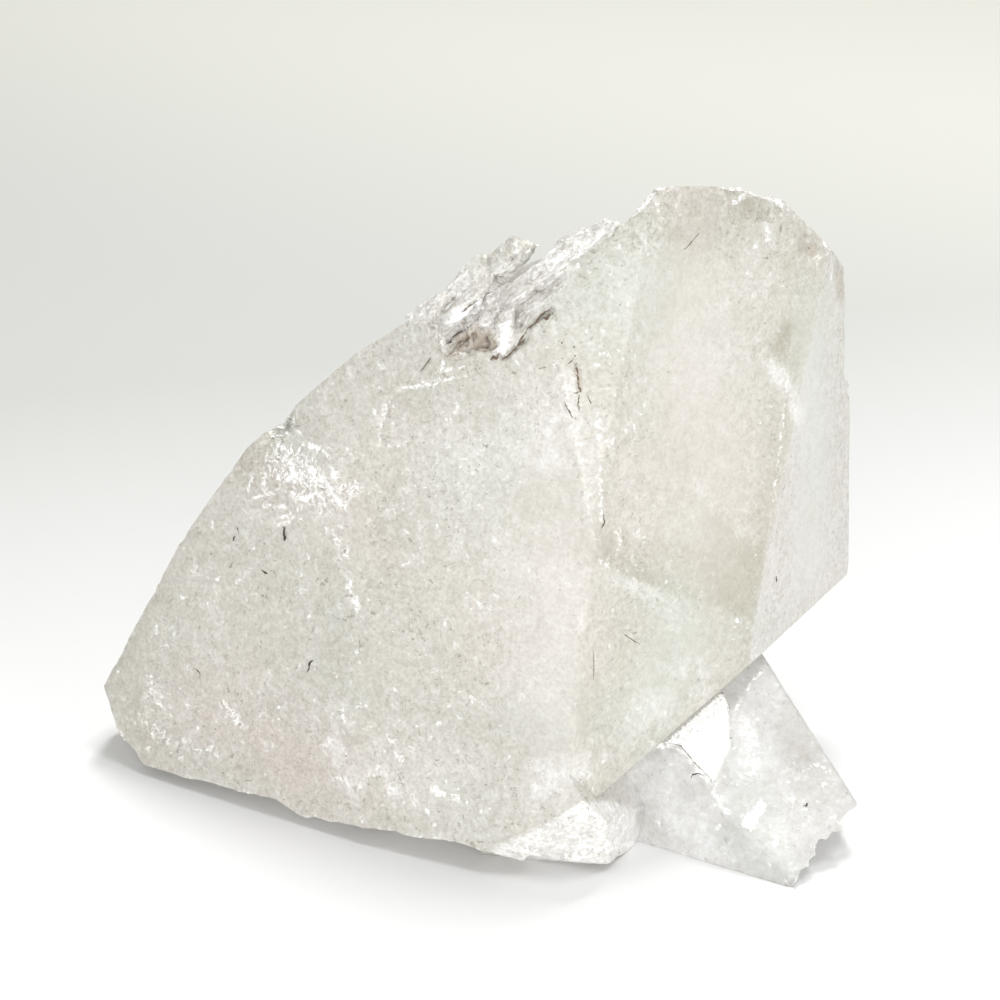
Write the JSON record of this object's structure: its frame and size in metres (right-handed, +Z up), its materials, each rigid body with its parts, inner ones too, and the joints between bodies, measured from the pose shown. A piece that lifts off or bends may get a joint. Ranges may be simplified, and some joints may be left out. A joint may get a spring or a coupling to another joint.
{
  "type": "quartz cluster",
  "caption": "Cluster of milky quartz crystals grown together, with flat faces, a rubbly broken ridge and a rough base that it rests on.",
  "frame": {"origin": "on the ground under the middle of the cluster's box", "axes": "+X to the small crystal's side along the longest extent, +Y to the back, +Z up"},
  "size_m": [0.0846, 0.0552, 0.0707],
  "materials": {
    "milky_quartz": "milky, see-through natural quartz with satin crystal faces and sugary breaks"
  },
  "bodies": {
    "root": {"quartz_cluster": "milky_quartz"}
  },
  "joints": []
}
